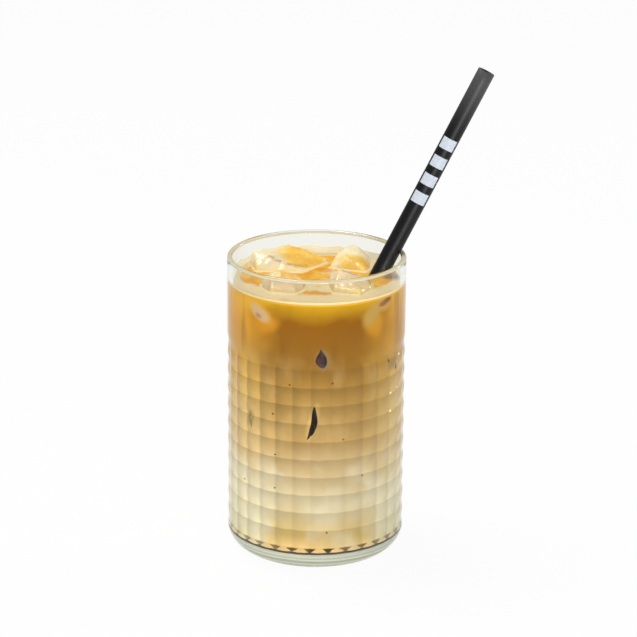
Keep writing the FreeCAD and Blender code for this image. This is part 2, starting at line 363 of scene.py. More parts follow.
# Height in mm and colour, down the front of the drink and round its sides. Partly painted light: yellower
# near the top for light coming in through the surface, and lighter round the sides as painted reflection of
# the glass's edges.
FRONT_COLOURS_AND_LIGHT = (
    (10, (225, 190, 125)),
    (18, (195, 165, 100)),
    (35, (205, 190, 155)),
    (50, (195, 170, 125)),
    (65, (180, 145, 90)),
    (85, (165, 128, 65)),
    (105, (148, 102, 30)),
    (120, (145, 90, 5)),
    (128, (205, 155, 20)),
)
SIDE_COLOURS_AND_LIGHT = (
    (10, (215, 205, 165)),
    (35, (230, 220, 185)),
    (55, (215, 185, 130)),
    (80, (210, 175, 105)),
    (100, (200, 152, 60)),
    (115, (215, 150, 30)),
    (128, (230, 170, 35)),
)


def colour_ramp(tree, share, stops):
    """A colour along share, from pairs of position and colour."""
    ramp = node(tree, "ShaderNodeValToRGB", {0: share})
    elements = ramp.color_ramp.elements
    elements.remove(elements[1])
    for i, (position, colour) in enumerate(stops):
        element = elements[0] if i == 0 else elements.new(position)
        element.position = position
        element.color = srgb(*colour)
    return ramp.outputs[0]


def height_ramp(tree, share, colours):
    """A colour by height; share is the height over the drink's level."""
    return colour_ramp(tree, share, [(height * MM / LEVEL, colour) for height, colour in colours])


def maths(tree, operation, *values, clamp=False):
    """The result of a Math node over sockets or numbers."""
    inputs = dict(enumerate(values))
    return node(tree, "ShaderNodeMath", inputs, operation=operation, use_clamp=clamp).outputs[0]


def blend(tree, share, first, second):
    """The first colour at share 0, the second at 1."""
    mix = node(tree, "ShaderNodeMix", {0: share, 6: first, 7: second}, data_type="RGBA")
    return mix.outputs[2]


def fade(tree, value, start, end):
    """0 at start, 1 at end, smooth between, and held outside."""
    return node(tree, "ShaderNodeMapRange", {
        "Value": value, "From Min": start, "From Max": end}, interpolation_type="SMOOTHSTEP").outputs[0]


# Soft stains where sunk ice lies close behind the wall:
# degrees round from the front, height, half width, half height, lean, colour.
STAINS = (
    (-35.6, 118.4, 8.4, 7.0, 0.2, (206, 140, 26)),
    (-39.6, 122.4, 6.2, 5.4, -0.7, (210, 174, 108)),
    (-39.6, 121.8, 4.4, 4.2, -0.7, (202, 166, 132)),
    (-41.0, 121.2, 2.2, 1.6, -0.5, (172, 134, 104)),
    (42.0, 118.6, 7.0, 8.5, 0.0, (208, 146, 30)),
    (39.5, 122.8, 6.2, 7.0, 0.3, (194, 154, 76)),
    (49.0, 126.0, 8.0, 4.8, 0.15, (202, 156, 80)),
    (49.2, 126.0, 3.6, 1.7, 0.4, (160, 110, 60)),
    (53.8, 127.2, 3.6, 1.6, 0.4, (148, 98, 54)),
    (4.2, 103.2, 4.6, 6.6, 0.0, (144, 126, 86)),
    (-2.0, 73.6, 2.8, 10.4, 0.22, (206, 172, 104)),
    (59.0, 95.6, 5.5, 4.5, 0.0, (170, 138, 78)),
    (-47.0, 71.4, 2.6, 5.0, 0.0, (174, 148, 94)),
)


def wall_place(tree):
    """The place, the angle round from the front, that angle as a length on the wall, and the height."""
    place = node(tree, "ShaderNodeTexCoord").outputs["Object"]
    split = node(tree, "ShaderNodeSeparateXYZ", {0: place})
    back = maths(tree, "MULTIPLY", split.outputs[1], -1.0)
    angle = maths(tree, "ARCTAN2", split.outputs[0], back)
    along = maths(tree, "MULTIPLY", angle, DRINK_RADIUS)
    return place, angle, along, split.outputs[2]


# The darkest line down the drink, and how far round from it the side's colours, lighter partly by painted
# reflection, start and take over.
DARK_LINE = math.radians(3.0)
SIDE_START = math.radians(26)
SIDE_FULL = math.radians(62)
# Heights between which the puffs in the milk fade out.
PUFFS_FULL = 46 * MM
PUFFS_END = 66 * MM
# Colours of the streaks, swirls and puffs, and the painted light and shade of the pattern at the foot.
STREAK = (120, 72, 6)
SWIRL = (232, 200, 140)
PUFF = (226, 218, 196)
PEACH = (206, 180, 136)
TOOTH_PAINTED_LIGHT = (236, 198, 140)
TOOTH_PAINTED_SHADE = (62, 42, 22)
FOOT_PAINTED_SHADE = (118, 100, 74)
# How strongly the relief's light lifts the colour up, across and to the left.
CELL_LIFT = 0.36
ACROSS_LIFT = 0.55
LEFT_LIGHTER = 0.12
FRONT_FLUTE = math.pi / 2 + FLUTE_BEARING + LIGHT_TURN
TOOTH_LOW = FLOOR - 0.1 * MM
TOOTH_HIGH = FLOOR + 2.0 * MM
TOOTH_HALF = 0.35


def layer_colour(tree, place, angle, height):
    """Colour of the layers, darkest down the front, with painted light making the sides and the top lighter,
    and with their borders bent by a slow noise.
    """
    slow = noise_map(tree, place, 32.0, 3.0, Roughness=0.6)
    bend = maths(tree, "SUBTRACT", slow, 0.5)
    share = maths(tree, "DIVIDE", maths(tree, "MULTIPLY_ADD", bend, 16 * MM, height), LEVEL)
    front = height_ramp(tree, share, FRONT_COLOURS_AND_LIGHT)
    side = height_ramp(tree, share, SIDE_COLOURS_AND_LIGHT)
    turned = maths(tree, "ABSOLUTE", maths(tree, "SUBTRACT", angle, DARK_LINE))
    turned = maths(tree, "MULTIPLY_ADD", bend, 0.9, turned)
    return blend(tree, fade(tree, turned, SIDE_START, SIDE_FULL), front, side)


def add_clouds(tree, colour, place, height):
    """Faint upright streaks above the relief, cloudy swirls in it, and puffs in the milk."""
    squash = node(tree, "ShaderNodeVectorMath", {0: place, 1: (1.0, 1.0, 0.12)}, operation="MULTIPLY")
    streak = noise_map(tree, squash.outputs[0], 210.0, 2.0)
    high = fade(tree, height, GRID_TOP - 4 * MM, GRID_TOP + 8 * MM)
    streaky = maths(tree, "MULTIPLY", fade(tree, streak, 0.52, 0.74), high)
    colour = blend(tree, maths(tree, "MULTIPLY", streaky, 0.35), colour, srgb(*STREAK))
    drift = node(tree, "ShaderNodeVectorMath", {0: place, 1: (1.0, 1.0, 0.5)}, operation="MULTIPLY")
    swirl = noise_map(tree, drift.outputs[0], 95.0, 2.0)
    below = maths(tree, "MULTIPLY", maths(tree, "SUBTRACT", 1.0, high), 0.22)
    pale = maths(tree, "MULTIPLY", fade(tree, swirl, 0.45, 0.8), below)
    colour = blend(tree, pale, colour, srgb(*SWIRL))
    low = fade(tree, height, PUFFS_END, PUFFS_FULL)
    puff = noise_map(tree, place, 55.0, 2.0, Roughness=0.5)
    for start, end, strength, tint in ((0.44, 0.68, 0.36, PUFF), (0.52, 0.30, 0.25, PEACH)):
        share = maths(tree, "MULTIPLY", fade(tree, puff, start, end), low)
        colour = blend(tree, maths(tree, "MULTIPLY", share, strength), colour, srgb(*tint))
    return colour


def add_stains(tree, colour, along, height, cloud):
    """The soft stains of STAINS, their edges frayed by the cloud noise."""
    for degrees, z, wide, tall, lean, tint in STAINS:
        dx = maths(tree, "SUBTRACT", along, math.radians(degrees) * DRINK_RADIUS)
        dz = maths(tree, "SUBTRACT", height, z * MM)
        dx = maths(tree, "MULTIPLY_ADD", dz, -lean, dx)
        u = maths(tree, "DIVIDE", dx, wide * MM)
        v = maths(tree, "DIVIDE", dz, tall * MM)
        span = maths(tree, "SQRT", maths(tree, "MULTIPLY_ADD", u, u, maths(tree, "MULTIPLY", v, v)))
        span = maths(tree, "MULTIPLY_ADD", maths(tree, "SUBTRACT", cloud, 0.5), 0.8, span)
        colour = blend(tree, fade(tree, span, 1.05, 0.3), colour, srgb(*tint))
    return colour


def add_relief_light(tree, colour, angle, height):
    """Each pyramid of the glass carries light from below: its lower half shows lighter.

    Gives the colour, and how far across its flute a place lies."""
    row = maths(tree, "DIVIDE", maths(tree, "SUBTRACT", height, RING_FIRST - LIGHT_DROP), RING_PITCH)
    part = maths(tree, "FRACT", maths(tree, "ADD", row, 8.0))
    top = GRID_TOP - LIGHT_DROP
    within = maths(tree, "MULTIPLY", fade(tree, height, top + 0.6 * MM, top - 0.6 * MM),
                   fade(tree, height, RING_FIRST - 4.0 * MM, RING_FIRST - 1.0 * MM))
    left = maths(tree, "SUBTRACT", 0.5, maths(tree, "SINE", angle), clamp=True)
    flute = maths(tree, "DIVIDE", maths(tree, "SUBTRACT", angle, FRONT_FLUTE), FLUTE_STEP)
    across = maths(tree, "FRACT", maths(tree, "ADD", flute, 100.0))
    steep = maths(tree, "MULTIPLY_ADD", fade(tree, height, 45 * MM, 80 * MM), ACROSS_LIFT, 0.1)
    aside = maths(tree, "MULTIPLY", maths(tree, "SUBTRACT", across, 0.5), left)
    aside = maths(tree, "MULTIPLY", aside, steep)
    weight = maths(tree, "MULTIPLY_ADD", left, 0.5, 0.5)
    upright = maths(tree, "MULTIPLY", maths(tree, "SUBTRACT", 0.5, part), weight)
    lift = maths(tree, "MULTIPLY", maths(tree, "ADD", upright, aside), within)
    tilt = maths(tree, "MULTIPLY", maths(tree, "SINE", angle), -LEFT_LIGHTER)
    scale = maths(tree, "MULTIPLY_ADD", lift, CELL_LIFT, maths(tree, "ADD", tilt, 1.0))
    shaded = node(tree, "ShaderNodeVectorMath", {0: colour, "Scale": scale}, operation="SCALE")
    return shaded.outputs[0], across


def add_heel_light_and_shade(tree, colour, place, angle, height, across, cloud):
    """Painted light and shade where the flutes run out at the heel: dark triangles of painted shade stand
    between light ones of painted light, over a line of painted shade.
    """
    apart = maths(tree, "ABSOLUTE", maths(tree, "SUBTRACT", across, 0.5))
    near = maths(tree, "SUBTRACT", 0.5, apart)
    reach = maths(tree, "DIVIDE", maths(tree, "SUBTRACT", height, TOOTH_LOW), TOOTH_HIGH - TOOTH_LOW)
    ragged = noise_map(tree, place, 420.0, 2.0)
    near = maths(tree, "MULTIPLY_ADD", maths(tree, "SUBTRACT", ragged, 0.5), 0.22, near)
    inside = maths(tree, "SUBTRACT", maths(tree, "MULTIPLY", reach, TOOTH_HALF), near)
    tooth = maths(tree, "MULTIPLY", fade(tree, inside, -0.04, 0.04), fade(tree, reach, 1.12, 0.9))
    # Painted light between the teeth and painted shade in them, made patchy by the cloud noise.
    light = fade(tree, height, TOOTH_HIGH + 1.2 * MM, TOOTH_HIGH - 0.5 * MM)
    patchy = fade(tree, cloud, 0.25, 0.6)
    middle = fade(tree, maths(tree, "ABSOLUTE", angle), math.radians(62), math.radians(20))
    light = maths(tree, "MULTIPLY", light, middle)
    light = maths(tree, "MULTIPLY", light, maths(tree, "MULTIPLY", patchy, 0.7))
    colour = blend(tree, light, colour, srgb(*TOOTH_PAINTED_LIGHT))
    facing = maths(tree, "MULTIPLY_ADD", middle, 0.4, 0.6)
    dark = maths(tree, "MULTIPLY", tooth, facing)
    dark = maths(tree, "MULTIPLY", dark, maths(tree, "MULTIPLY_ADD", patchy, 0.35, 0.6))
    colour = blend(tree, dark, colour, srgb(*TOOTH_PAINTED_SHADE))
    # A line of painted shade along the foot.
    foot = maths(tree, "MULTIPLY", fade(tree, height, FLOOR + 0.45 * MM, FLOOR - 0.1 * MM), facing)
    return blend(tree, foot, colour, srgb(*FOOT_PAINTED_SHADE))


def drink_material(name):
    """The drink as seen through the wall: layers with painted light, clouds, stains, the relief's painted
    light, and the painted light and shade of the teeth at the heel.
    """
    mat, tree, out = new_material(name)
    place, angle, along, height = wall_place(tree)
    cloud = noise_map(tree, place, 85.0, 3.0)
    colour = layer_colour(tree, place, angle, height)
    colour = add_clouds(tree, colour, place, height)
    colour = add_stains(tree, colour, along, height, cloud)
    colour, across = add_relief_light(tree, colour, angle, height)
    colour = add_heel_light_and_shade(tree, colour, place, angle, height, across, cloud)
    plain_shader(tree, out, {"Base Color": colour, "Roughness": 0.5, "Specular IOR Level": 0.0})
    return mat


def surface_material():
    """Top of the drink: amber liquid, paler in the bowls under the ice as painted light, with pale foam along
    the glass and round the ice.
    """
    mat, tree, out = new_material("drink_surface")
    place, height = place_and_height(tree)
    foam = painted(tree, "foam")
    deep = painted(tree, "deep")
    cloud = noise_map(tree, place, 130.0, 3.0, Distortion=0.6)
    amber = blend(tree, fade(tree, cloud, 0.35, 0.7), srgb(234, 156, 10), srgb(248, 196, 72))
    # Painted light: the bowls under the ice are paler, over the shade that falls in them.
    amber = blend(tree, deep, amber, srgb(240, 190, 100))
    fine = noise_map(tree, place, 420.0, 4.0, Roughness=0.65)
    edge = maths(tree, "MULTIPLY_ADD", maths(tree, "SUBTRACT", fine, 0.5), 0.7, foam)
    tone = blend(tree, fine, srgb(242, 208, 146), srgb(248, 230, 190))
    colour = blend(tree, fade(tree, edge, 0.25, 0.7), amber, tone)
    below = fade(tree, height, LEVEL - 0.1 * MM, LEVEL - 0.45 * MM)
    colour = blend(tree, below, colour, srgb(232, 172, 34))
    plain_shader(tree, out, {
        "Base Color": colour, "Roughness": 0.25, "IOR": 1.33, "Specular IOR Level": 0.25})
    return mat


def ice_material(tan):
    """Wet ice: clear grey-cream, amber where coffee lies on it, with a painted highlight on its edges and
    painted shade along a fold between its faces.
    """
    mat, tree, out = new_material("coffee_ice")
    place = node(tree, "ShaderNodeTexCoord").outputs["Object"]
    amber = painted(tree, "amber")
    edge = painted(tree, "edge")
    crease = painted(tree, "crease")
    stain = noise_map(tree, place, 150.0, 4.0, Distortion=1.0)
    fine = noise_map(tree, place, 420.0, 3.0, Distortion=0.8)
    wet = maths(tree, "MULTIPLY_ADD", maths(tree, "SUBTRACT", stain, 0.5), 1.5, amber)
    body = blend(tree, fade(tree, wet, 0.0, 0.65), srgb(250, 246, 216), srgb(255, 228, 140))
    body = blend(tree, fade(tree, wet, 0.55, 1.15), body, srgb(250, 204, 84))
    body = blend(tree, tan, body, srgb(214, 176, 136))
    # Painted shade along the fold between faces.
    streak = maths(tree, "MULTIPLY", crease, fade(tree, fine, 0.30, 0.62))
    body = blend(tree, maths(tree, "MULTIPLY", streak, 0.62), body, srgb(160, 122, 70))
    dark = fade(tree, fine, 0.40, 0.30)
    body = blend(tree, maths(tree, "MULTIPLY", dark, 0.35), body, srgb(198, 146, 84))
    # Painted highlight on the rounded edges.
    colour = blend(tree, maths(tree, "MULTIPLY", edge, 0.85), body, srgb(255, 236, 158))
    shader = node(tree, "ShaderNodeBsdfPrincipled", {
        "Base Color": colour, "Roughness": 0.06, "IOR": 1.31, "Transmission Weight": 0.32})
    lamps_pass(tree, out, shader.outputs[0], (0.95, 0.9, 0.8, 1))
    return mat


# ------------------------------------------------------------ drink

def drink_side(radius, height, angle):
    """The side of the drink reaches into the wall, and swells behind each pyramid of the glass."""
    if radius < DRINK_RADIUS - 0.01 * MM:
        return radius
    row = (height + LIGHT_DROP - RING_FIRST) / RING_PITCH
    column = (angle - FLUTE_BEARING - LIGHT_TURN) / FLUTE_STEP
    u = abs(column % 1.0 - 0.5) * 2
    v = abs(row % 1.0 - 0.5) * 2
    swell = 1 - (u * u + v * v) / 2
    if row > RING_COUNT - 1:
        swell = (1 - u * u) / 2 * max(0.0, 1 - (row - RING_COUNT + 1) / 0.35)
    return INNER_RADIUS + INTO_WALL + PILLOW * max(0.0, swell)


def make_layer(name, node_name, low, high, round_low=0.0):
    """A layer of the drink with a flat top and, where round_low is given, a rounded lower edge."""
    profile = [(0, low)]
    if round_low:
        profile += line(profile[-1], (DRINK_RADIUS - round_low, low), 4)
        profile += arc(DRINK_RADIUS - round_low, low + round_low, round_low, -90, 0, 8)
    else:
        profile += line(profile[-1], (DRINK_RADIUS, low), 4)
    steps = max(2, int((high - profile[-1][1]) / (RING_PITCH / 12)))
    profile += line(profile[-1], (DRINK_RADIUS, high), steps)
    profile += line(profile[-1], (DRINK_RADIUS * 0.5, high), 2)
    profile.append((0, high))
    piece = lathe(name, profile, FLUTE_COUNT * 12, drink_side)
    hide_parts(node_name)
    piece.data.materials.append(drink_material(name + "_liquid"))


def signed(tree, point):
    """Distance from a closed mesh, negative inside it."""
    hit, normal, _, distance = tree.find_nearest(point)
    return math.copysign(distance, (point - hit).dot(normal))


# Rings and spokes over the top of the drink.
SURFACE_RINGS = 150
SURFACE_SPOKES = 360
# How far in mm the drink climbs the glass and the ice, and the straw, and over what distance that fades.
CLIMB = 0.7
STRAW_CLIMB = 0.35
CLIMB_REACH = 0.8 * MM


def make_surface(trees):
    """Top of the drink: a meniscus at the wall, the straw and the ice, bowls under the ice."""
    straw_tree = BVHTree.FromObject(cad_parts["straw"], bpy.context.evaluated_depsgraph_get())
    radii = [DRINK_RADIUS * (i / SURFACE_RINGS) for i in range(1, SURFACE_RINGS + 1)]
    turns = [2 * math.pi * j / SURFACE_SPOKES for j in range(SURFACE_SPOKES)]
    tops, foams, deeps = [], [], []
    spots = [(0.0, 0.0)] + [(r * math.cos(a), r * math.sin(a)) for r in radii for a in turns]
    for x, y in spots:
        point = Vector((x, y, LEVEL))
        wall = DRINK_RADIUS - math.hypot(x, y)
        ice = min(signed(t, point) for t in trees)
        straw = abs(signed(straw_tree, point))
        climb = CLIMB * math.exp(-wall / CLIMB_REACH) + STRAW_CLIMB * math.exp(-straw / CLIMB_REACH)
        if ice > 0:
            climb += CLIMB * math.exp(-ice / CLIMB_REACH)
            bowl = 0.0
        else:
            climb += CLIMB
            bowl = smoothstep(0.5 * MM, 3.5 * MM, -ice)
        wave = 0.3 * noise.noise(Vector((x, y, 0)) * 110)
        tops.append(LEVEL + (climb + wave) * MM * (1 - bowl) - 4 * MM * bowl)
        front = smoothstep(-0.1, 0.9, -y / max(math.hypot(x, y), MM))
        width = (2.8 + 10.3 * front) * MM
        ring = 1 - smoothstep(0.5 * width, 1.6 * width, wall)
        rim = math.exp(-(max(0.0, ice - 0.3 * MM) / (0.9 * MM)) ** 2)
        wisp = smoothstep(0.1, 0.5, noise.noise(Vector((x, y, 0.2)) * 85))
        front_wisp = smoothstep(-0.35, 0.3, noise.noise(Vector((x, y, 0.7)) * 110))
        front_wisp *= smoothstep(0.1, -0.5, y / RADIUS)
        foams.append(min(1.0, max(ring, rim * 0.75, 0.42 * wisp, 0.85 * front_wisp) * (1 - bowl)))
        deeps.append(bowl)
    return spots, tops, foams, deeps


def cap_piece(name, spots, tops, lows, side_low):
    """A closed body with a free-form top over rings and spokes, and an underside; its rim is in the wall."""
    segments = SURFACE_SPOKES
    count = len(spots)
    rings = (count - 1) // segments
    rim = count - segments
    places = spots[:rim]
    for x, y in spots[rim:]:
        k = (INNER_RADIUS + INTO_WALL) / math.hypot(x, y)
        places.append((x * k, y * k))
    lows = lows[:rim] + [side_low] * segments
    verts = [(x, y, z) for (x, y), z in zip(places, tops)]
    verts += [(x, y, z) for (x, y), z in zip(places, lows)]
    faces = []
    for j in range(segments):
        k = (j + 1) % segments
        faces.append((0, 1 + j, 1 + k))
        faces.append((count, count + 1 + k, count + 1 + j))
        for i in range(rings - 1):
            a, b = 1 + i * segments + j, 1 + i * segments + k
            c, d = b + segments, a + segments
            faces.append((a, d, c, b))
            faces.append((count + a, count + b, count + c, count + d))
        a, b = count - segments + j, count - segments + k
        faces.append((a, count + a, count + b, b))
    return mesh_piece(name, verts, faces)


def make_top(trees):
    """The surface of the drink and, under it, the coffee."""
    spots, tops, foams, deeps = make_surface(trees)
    foam_lows = [min(COFFEE_TOP, t - 0.15 * MM) for t in tops]
    foam = cap_piece("drink_surface", spots, tops, foam_lows, COFFEE_TOP)
    for label, values in (("foam", foams), ("deep", deeps)):
        attribute = foam.data.attributes.new(label, "FLOAT", "POINT")
        attribute.data.foreach_set("value", values + values)
    foam.data.materials.append(surface_material())
    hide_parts("foam_layer")
    coffee_tops = [t - 0.02 * MM for t in foam_lows]
    coffee = cap_piece("coffee", spots, coffee_tops, [MIXED_TOP] * len(spots), MIXED_TOP)
    coffee.data.materials.append(drink_material("coffee_liquid"))
    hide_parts("coffee_layer")


# Degrees anticlockwise from the right at which the film starts and ends, and its height in mm.
FILM_START = 8
FILM_END = 176
FILM_TALL = 3.4


def make_film():
    """A thin cream film that the drink left on the inside of the back wall."""
    steps, rows = 150, 6
    outer, inner = [], []
    for i in range(steps + 1):
        share = i / steps
        a = math.radians(FILM_START + (FILM_END - FILM_START) * share)
        ends = smoothstep(0.0, 0.12, share) * smoothstep(1.0, 0.88, share)
        wave = noise.noise(Vector((math.cos(a), math.sin(a), 0.4)) * 5.0)
        tall = (0.5 + ends * (FILM_TALL + 1.7 * wave)) * MM
        for j in range(rows + 1):
            z = LEVEL - 0.6 * MM + (tall + 0.6 * MM) * j / rows
            thick = (0.16 - 0.14 * (j / rows) ** 2) * MM
            outer.append((INNER_RADIUS + 0.05 * MM, a, z))
            inner.append((INNER_RADIUS - thick, a, z))
    verts = [(r * math.cos(a), r * math.sin(a), z) for r, a, z in outer + inner]
    n, w = len(outer), rows + 1
    faces = []
    for i in range(steps):
        for j in range(rows):
            a, b, c, d = i * w + j, (i + 1) * w + j, (i + 1) * w + j + 1, i * w + j + 1
            faces += [(a, b, c, d), (n + a, n + d, n + c, n + b)]
        top, low = i * w + rows, i * w
        faces += [(top, top + w, n + top + w, n + top), (low, n + low, n + low + w, low + w)]
    for j in range(rows):
        a, b = j, steps * w + j
        faces += [(a, a + 1, n + a + 1, n + a), (b, n + b, n + b + 1, b + 1)]
    film = mesh_piece("film", verts, faces)
    mat, tree, out = new_material("cream_film")
    shader = node(tree, "ShaderNodeBsdfPrincipled", {
        "Base Color": srgb(255, 246, 204), "Roughness": 0.5, "Specular IOR Level": 0.1, "Alpha": 0.42})
    lamps_pass(tree, out, shader.outputs[0], (0.98, 0.95, 0.88, 1))
    film.data.materials.append(mat)


# ------------------------------------------------------------ ice

# Corners of each block in mm: those that stand out of the drink, and the sunk ones.
ICE = {
    "ice_1": (
        (-29.5, 20, 136.8), (-13.5, 29.3, 137.2), (-4, 27.5, 135.0), (4.6, 25, 131.4), (-10.7, 10, 131.0),
        (-31, 21, 129.5), (-27.3, 9.7, 130.2), (-13, 9.2, 130.0), (-6.8, 7.8, 130.0), (0.5, 16.5, 130.0),
        (-31, 20.5, 124), (-27, 8.5, 124), (-6.5, 7.2, 124), (2, 16, 124), (5.5, 25, 125), (-11, 34, 125),
        (-25, 26.5, 125), (-26, 20, 114), (-22, 10, 114), (-8, 10, 114), (0, 18, 114), (-10, 29, 114)),
    "ice_2": (
        (9.8, 18.5, 136.6), (13.4, 22, 138.2), (16.5, 25, 138.3), (20, 26.5, 137), (23.2, 26, 134.3),
        (26, 25.5, 131), (6.1, 16, 130.2), (13.1, 15.9, 131.8), (18.1, 12.6, 131.4), (22.3, 8.8, 130.2),
        (5.5, 15.5, 125), (13, 14, 125), (18, 11, 125), (23, 7.5, 125), (27.5, 15, 126), (27.5, 21, 126),
        (16, 30, 126), (10, 18, 118), (14, 14, 118), (21, 13, 118), (24, 20, 118), (16, 26, 118)),
    "ice_3": (
        (-24.2, -9.2, 133), (-21.2, -12.8, 135.9), (-17.7, -12.6, 137.1), (-13, -12.9, 137.2),
        (-9.3, -13.6, 136), (-5.7, -13.9, 133), (-24.5, -14, 131), (-20, -22, 132), (-10, -23.5, 131.5),
        (-5.5, -19, 131), (-14, -5, 131), (-26, -9, 125), (-25, -17, 125), (-19, -25, 125), (-9, -25.5, 125),
        (-4, -18, 125), (-4.5, -9, 125), (-14, -4.5, 125), (-20, -10, 117), (-20, -19, 117), (-9, -19, 117),
        (-9, -10, 117)),
    "ice_4": (
        (6.5, -10.5, 134.8), (10.8, -11, 137.9), (14, -12, 137), (22, -11, 133.8), (6, -8.8, 131),
        (8, -22, 132.2), (19, -25, 131.5), (24, -16, 131.5), (24.5, -9, 130.8), (12, -3.5, 131),
        (21, -3.5, 130.8),
        (4.5, -9, 125), (6, -23, 125), (19, -26.5, 125), (26, -17, 125), (25, -6, 125), (12, -2.5, 125),
        (8, -8, 117), (9, -20, 117), (18, -22, 117), (21, -12, 117)),
}
# Share of the tan of the drink that shows through each block.
TAN = {"ice_1": 0.0, "ice_2": 0.0, "ice_3": 0.45, "ice_4": 0.35}
# The middle and the reach of the coffee that lies on each block, and the path of its fold of painted shade.
PAINT = {
    "ice_1": ((-5, 22, 135), 15, ((-22, 16, 134.6), (-15, 12.5, 132.4), (-9, 12, 131.5), (-5, 14, 131.6))),
    "ice_2": ((18, 12.5, 131), 9, ((13, 14.8, 130), (19, 12, 130))),
    "ice_3": ((-14, -13, 137), 8, ((-22, -11.5, 134.5), (-19, -13.5, 136))),
    "ice_4": ((20, -8, 131), 7, ((12, -12, 137.2), (20, -12, 134.0))),
}


# Size of the even mesh, passes of melting, and the lumps and pits in mm that follow.
ICE_VOXEL = 0.38 * MM
ICE_MELT = 5
ICE_LUMPS = 0.8
ICE_PITS = 0.22


def make_ice(name):
    """A block rounded by melting: a hull of its corners, remeshed evenly and softened."""
    bm = bmesh.new()
    for corner in ICE[name]:
        bm.verts.new(Vector(corner) * MM)
    result = bmesh.ops.convex_hull(bm, input=bm.verts)
    bmesh.ops.delete(bm, geom=list({g for g in result["geom_interior"]} | set(result["geom_unused"])),
                     context="VERTS")
    mesh = bpy.data.meshes.new(name + "_hull")
    bm.to_mesh(mesh)
    bm.free()
    block = bpy.data.objects.new(name + "_block", mesh)
    bpy.context.collection.objects.link(block)
    even = block.modifiers.new("even", "REMESH")
    even.mode = "VOXEL"
    even.voxel_size = ICE_VOXEL
    melt = block.modifiers.new("melt", "SMOOTH")
    melt.iterations = ICE_MELT
    fine = bpy.data.meshes.new_from_object(block.evaluated_get(bpy.context.evaluated_depsgraph_get()))
    block.modifiers.clear()
    seed = Vector((list(ICE).index(name) * 3.7, 0, 0))
    normals = [v.normal.copy() for v in fine.vertices]
    for v, normal in zip(fine.vertices, normals):
        slow = noise.noise(v.co * 95 + seed)
        quick = noise.noise(v.co * 330 + seed)
        v.co += normal * (slow * ICE_LUMPS + quick * ICE_PITS) * MM
    block.data = fine
    fine.name = name + "_block"
    fine.polygons.foreach_set("use_smooth", [True] * len(fine.polygons))
    paint_ice(fine, *PAINT[name])
    fine.materials.clear()
    fine.materials.append(ice_material(TAN[name]))
    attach(block, "root")
    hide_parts(name)
    return block


def along_path(point, path):
    """Distance in metres from a point to a path whose corners are in mm."""
    best = math.inf
    for a, b in zip(path, path[1:]):
        a, b = Vector(a) * MM, Vector(b) * MM
        t = min(1.0, max(0.0, (point - a).dot(b - a) / (b - a).length_squared))
        best = min(best, (point - a.lerp(b, t)).length)
    return best


def paint_ice(mesh, centre, reach, path):
    """Marks how much coffee wets each point, the edges that take a painted highlight and a fold that takes
    painted shade.
    """
    bm = bmesh.new()
    bm.from_mesh(mesh)
    bm.verts.ensure_lookup_table()
    centre = Vector(centre) * MM
    amber = [1 - smoothstep(0.4, 1.15, (v.co - centre).length / (reach * MM)) for v in bm.verts]
    bulge = []
    for v in bm.verts:
        near = sum((e.other_vert(v).co for e in v.link_edges), Vector()) / len(v.link_edges)
        bulge.append((v.co - near).dot(v.normal))
    for _ in range(3):
        bulge = [(bulge[v.index] + sum(bulge[e.other_vert(v).index] for e in v.link_edges))
                 / (1 + len(v.link_edges)) for v in bm.verts]
    bm.free()
    low, high = np.percentile(bulge, (76, 93))
    edge = [smoothstep(low, high, b) for b in bulge]
    crease = [1 - smoothstep(0.4 * MM, 2.0 * MM, along_path(v.co, path)) for v in mesh.vertices]
    for label, values in (("amber", amber), ("edge", edge), ("crease", crease)):
        mesh.attributes.new(label, "FLOAT", "POINT").data.foreach_set("value", values)


# ------------------------------------------------------------ chips, specks and painted glints on the wall

# Outlines in degrees round from the front and mm of height, as seen on the wall.
CRESCENT = ((-1.0, 81.6), (0.3, 79.3), (1.2, 75.3), (1.0, 72.4), (-0.1, 70.5), (-0.9, 69.2), (-2.2, 67.8),
            (-4.2, 66.3), (-5.8, 65.4), (-4.9, 67.5), (-3.8, 71.4), (-2.9, 74.4), (-2.4, 77.8), (-1.9, 79.7))
TEARDROP = ((3.0, 108.6), (4.4, 107.0), (6.2, 105.4), (7.2, 103.2), (6.6, 100.9), (4.6, 99.6), (2.2, 100.2),
            (0.2, 101.6), (-0.4, 103.2), (0.6, 105.2), (2.0, 106.8))
SLIVER = ((-48.2, 74.4), (-46.8, 72.8), (-45.8, 69.4), (-46.0, 67.0), (-47.2, 69.0), (-48.2, 71.8))
CHIP_HIGH = ((54.4, 98.4), (56.0, 97.8), (56.6, 96.9), (55.4, 96.8), (54.4, 97.4))
CHIP_LOW = ((62.6, 94.8), (64.2, 93.8), (64.8, 92.4), (63.4, 92.0), (62.4, 93.4))
SPECKS = ((10.7, 92.4), (18.3, 65.0), (-27.5, 56.5), (-53.9, 40.1), (-27.6, 40.4), (32.5, 46.0), (7.9, 20.0),
          (-17.3, 91.1), (-28.9, 76.2), (118.0, 84.0), (152.0, 60.0), (-141.0, 96.0), (-102.0, 40.0),
          (170.0, 33.0), (96.0, 58.0))
# The glints are painted highlights, where the relief's edges catch light.
GLINTS = ((70.0, 98.0), (66.8, 82.7), (58.3, 81.5), (66.8, 73.9), (58.3, 72.8))


# Rings from the middle of a patch to its edge, and how deep in mm its underside lies.
PATCH_RINGS = 10
PATCH_DEEP = 0.5


def rounded(outline, parts=4):
    """The outline as a smooth closed curve through its points."""
    count = len(outline)
    fine = []
    for i in range(count):
        before, here, after, then = (outline[(i + k) % count] for k in (-1, 0, 1, 2))
        for j in range(parts):
            t = j / parts
            fine.append([0.5 * (2 * here[k] + (after[k] - before[k]) * t
                                + (2 * before[k] - 5 * here[k] + 4 * after[k] - then[k]) * t * t
                                + (3 * here[k] - before[k] - 3 * after[k] + then[k]) * t ** 3)
                         for k in (0, 1)])
    return fine


